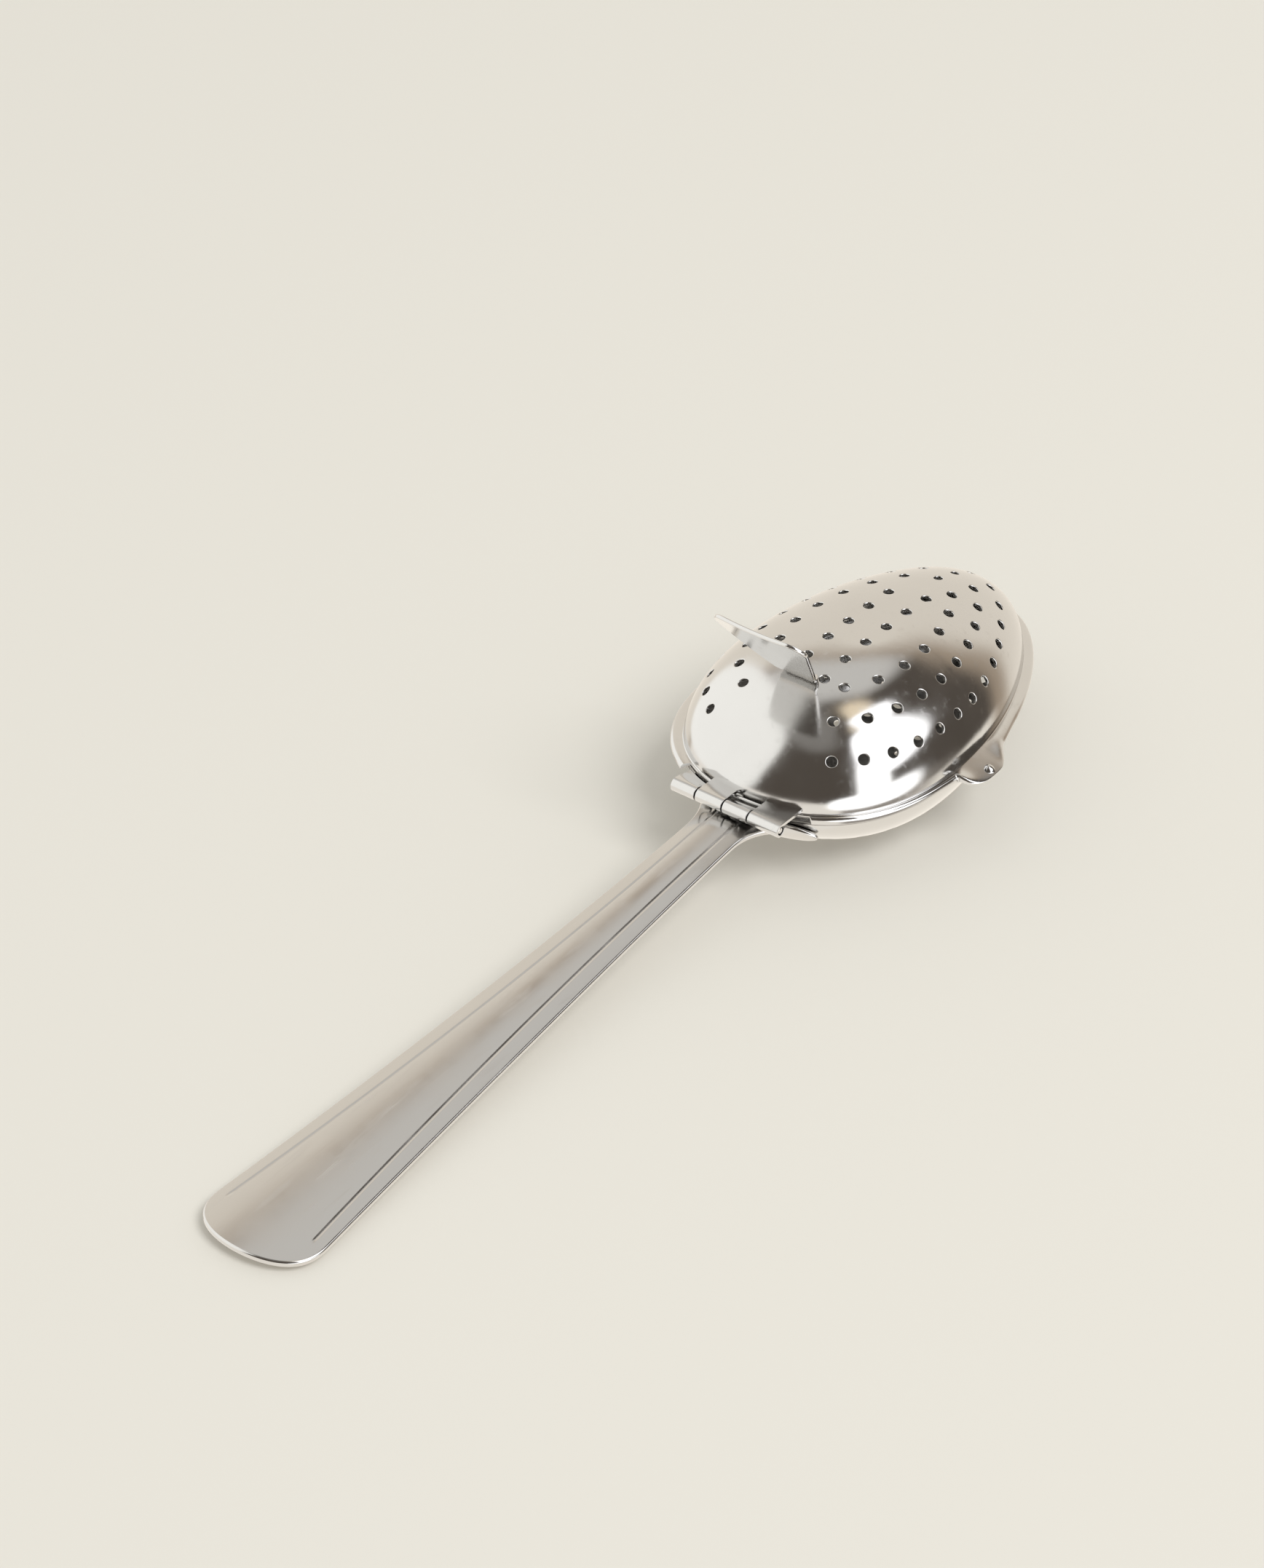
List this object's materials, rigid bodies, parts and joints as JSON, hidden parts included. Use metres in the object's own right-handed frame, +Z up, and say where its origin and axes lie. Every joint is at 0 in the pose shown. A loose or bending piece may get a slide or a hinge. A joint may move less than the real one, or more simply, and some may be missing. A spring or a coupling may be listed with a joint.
{
  "type": "tea infuser",
  "caption": "Spoon-shaped steel tea infuser: perforated egg-shaped bowl with a hinged perforated lid, a thumb tab and a flat stamped handle.",
  "frame": {"origin": "centre of the small flat under the lower bowl, which rests on the table", "axes": "+Y from the handle towards the bowl's tip, +X towards the latch ear, +Z up"},
  "size_m": [0.0463, 0.1716, 0.0371],
  "materials": {
    "polished_steel": "mirror-polished stainless steel with fine wear scratches",
    "satin_steel": "soft-polished stainless steel, slightly satin"
  },
  "bodies": {
    "bowl": {"handle": "satin_steel", "lower_bowl": "polished_steel", "hinge_pin": "polished_steel"},
    "lid": {"lid": "polished_steel", "thumb_tab": "polished_steel"}
  },
  "joints": [
    {"name": "lid_hinge", "type": "hinge", "parent": "bowl", "child": "lid", "pos_m": [0, -0.0344, 0.0116], "axis": [1, 0, 0], "range_deg": [0, 105]}
  ]
}
